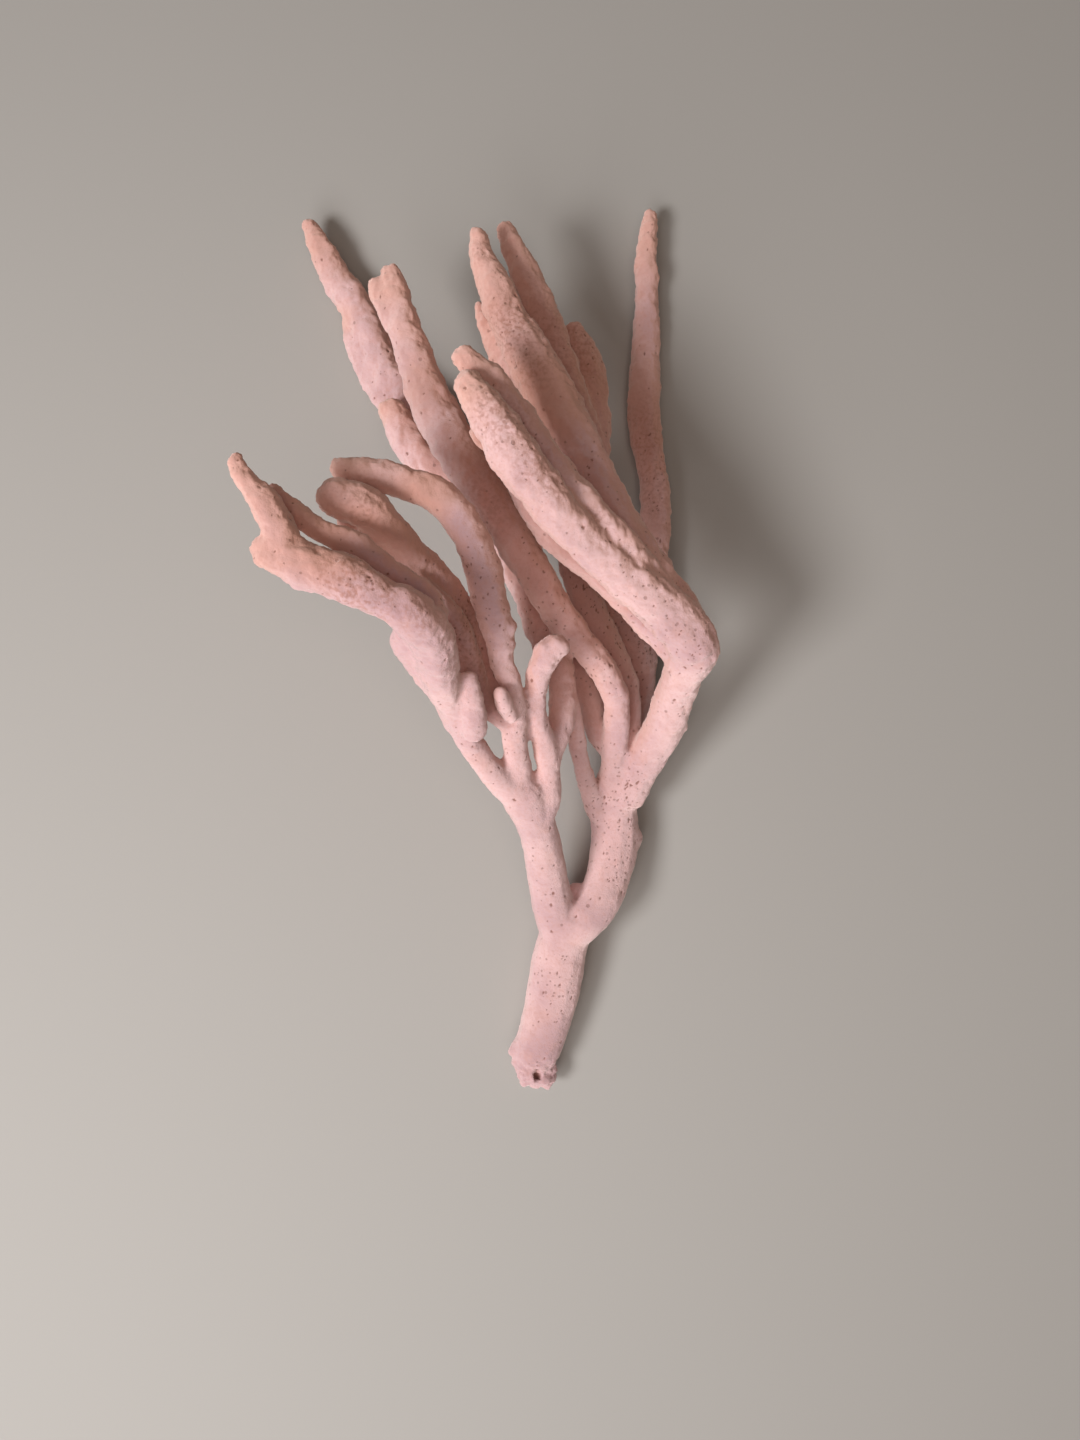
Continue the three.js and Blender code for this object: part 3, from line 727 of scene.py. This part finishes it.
group_names = list(groups)
group_of_axis = np.array([group_names.index(group) for group, _, _, _ in axis_points])
point_group = group_of_axis[nearest]
joins = np.empty(len(skin.edges) * 2, np.int32)
skin.edges.foreach_get("vertices", joins)
joins = joins.reshape(-1, 2)
for _ in range(PARTING_ROUNDS):
    votes = np.zeros((count, len(group_names)), np.int32)
    np.add.at(votes, (joins[:, 0], point_group[joins[:, 1]]), 1)
    np.add.at(votes, (joins[:, 1], point_group[joins[:, 0]]), 1)
    votes[np.arange(count), point_group] += 1
    point_group = votes.argmax(1)
skin.attributes["grown_normal"].data.foreach_set("vector", read_points(skin.vertices, "normal").ravel())
skin.attributes.new("bough", "INT", "POINT").data.foreach_set("value", point_group.astype(np.int32))

first_corners = np.empty(len(skin.polygons), np.int32)
corner_points = np.empty(len(skin.loops), np.int32)
skin.polygons.foreach_get("loop_start", first_corners)
skin.loops.foreach_get("vertex_index", corner_points)
skin.materials.clear()
skin_material = velvet_skin()
for _ in group_names:
    skin.materials.append(skin_material)
skin.polygons.foreach_set("material_index", point_group[corner_points[first_corners]].astype(np.int32))
bpy.ops.object.shade_smooth()
bpy.ops.object.mode_set(mode="EDIT")
bpy.ops.mesh.separate(type="MATERIAL")
bpy.ops.object.mode_set(mode="OBJECT")


def close_cuts(piece):
    """Turns the rims of a bough's cuts inwards by CUT_LIP and closes them there."""
    bpy.ops.object.select_all(action="DESELECT")
    piece.select_set(True)
    bpy.context.view_layer.objects.active = piece
    bpy.ops.object.mode_set(mode="EDIT")
    bpy.ops.mesh.select_mode(type="EDGE")
    bpy.ops.mesh.select_all(action="DESELECT")
    bpy.ops.mesh.select_non_manifold(extend=False, use_wire=False, use_multi_face=False,
                                     use_non_contiguous=False, use_verts=False)
    bpy.ops.mesh.extrude_edges_move()
    bpy.ops.object.mode_set(mode="OBJECT")
    bend = piece.data.attributes["grown_normal"].data
    for point in piece.data.vertices:
        if point.select:
            point.co -= bend[point.index].vector * CUT_LIP * MM
    bpy.ops.object.mode_set(mode="EDIT")
    bpy.ops.mesh.select_mode(type="FACE")
    bpy.ops.mesh.select_all(action="SELECT")
    bpy.ops.mesh.fill_holes(sides=0)
    bpy.ops.mesh.select_all(action="DESELECT")
    bpy.ops.mesh.select_face_by_sides(number=4, type="GREATER")
    bpy.ops.mesh.poke()
    bpy.ops.object.mode_set(mode="OBJECT")


for piece in [thing for thing in bpy.context.scene.objects if thing.name.startswith("whole_sponge")]:
    boughs = np.empty(len(piece.data.vertices), np.int32)
    piece.data.attributes["bough"].data.foreach_get("value", boughs)
    group = group_names[np.bincount(boughs).argmax()]
    piece.name = group
    close_cuts(piece)
    bend = np.empty(len(piece.data.vertices) * 3, np.float32)
    piece.data.attributes["grown_normal"].data.foreach_get("vector", bend)
    piece.data.normals_split_custom_set_from_vertices(bend.reshape(-1, 3))
    piece.data.attributes.remove(piece.data.attributes["grown_normal"])
    piece.data.attributes.remove(piece.data.attributes["bough"])
    piece.data.materials.clear()
    piece.data.materials.append(skin_material)
    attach(piece, "root")
    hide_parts(*groups[group])

# The surface that it lies on, and the light
# A plain pale floor. The window light stands high at the left, and the wider room light carries it on round
# the limbs from the lower left. A wide, warm light over the sponge fills the spaces between the fingers.
FLOOR_SIZE = 6
FLOOR_COLOUR = (0.46, 0.45, 0.42, 1)
DAYLIGHT = (1.0, 0.97, 0.98)
WARM_LIGHT = (1.0, 0.80, 0.70)
ROOM_COLOUR = (1.0, 0.9, 0.83, 1)
ROOM_STRENGTH = 0.1

bpy.ops.object.select_all(action="DESELECT")
bpy.ops.mesh.primitive_plane_add(size=FLOOR_SIZE)
floor = bpy.context.object
floor.name = "floor"
floor_paint = bpy.data.materials.new("floor_paint")
floor_paint.use_nodes = True
floor_paint.node_tree.nodes["Principled BSDF"].inputs["Base Color"].default_value = FLOOR_COLOUR
floor_paint.node_tree.nodes["Principled BSDF"].inputs["Roughness"].default_value = 0.8
floor.data.materials.append(floor_paint)


def add_light(name, place, size, power, colour):
    """A round soft light that looks at the middle of the sponge's footprint."""
    bpy.ops.object.light_add(type="AREA", location=place)
    lamp = bpy.context.object
    lamp.name = name
    lamp.data.shape = "DISK"
    lamp.data.size = size
    lamp.data.energy = power
    lamp.data.color = colour
    lamp.rotation_euler = (-Vector(place)).to_track_quat("-Z", "Y").to_euler()


add_light("window_light", (-0.8, -0.4, 1.15), 0.45, 11.5, DAYLIGHT)
add_light("room_light", (-0.45, -0.75, 0.95), 0.8, 6, DAYLIGHT)
add_light("front_light", (0.1, -0.3, 2.0), 1.2, 6.5, WARM_LIGHT)

world = bpy.data.worlds.new("room")
bpy.context.scene.world = world
world.use_nodes = True
world.node_tree.nodes["Background"].inputs["Color"].default_value = ROOM_COLOUR
world.node_tree.nodes["Background"].inputs["Strength"].default_value = ROOM_STRENGTH
bpy.context.scene.view_settings.view_transform = "Standard"
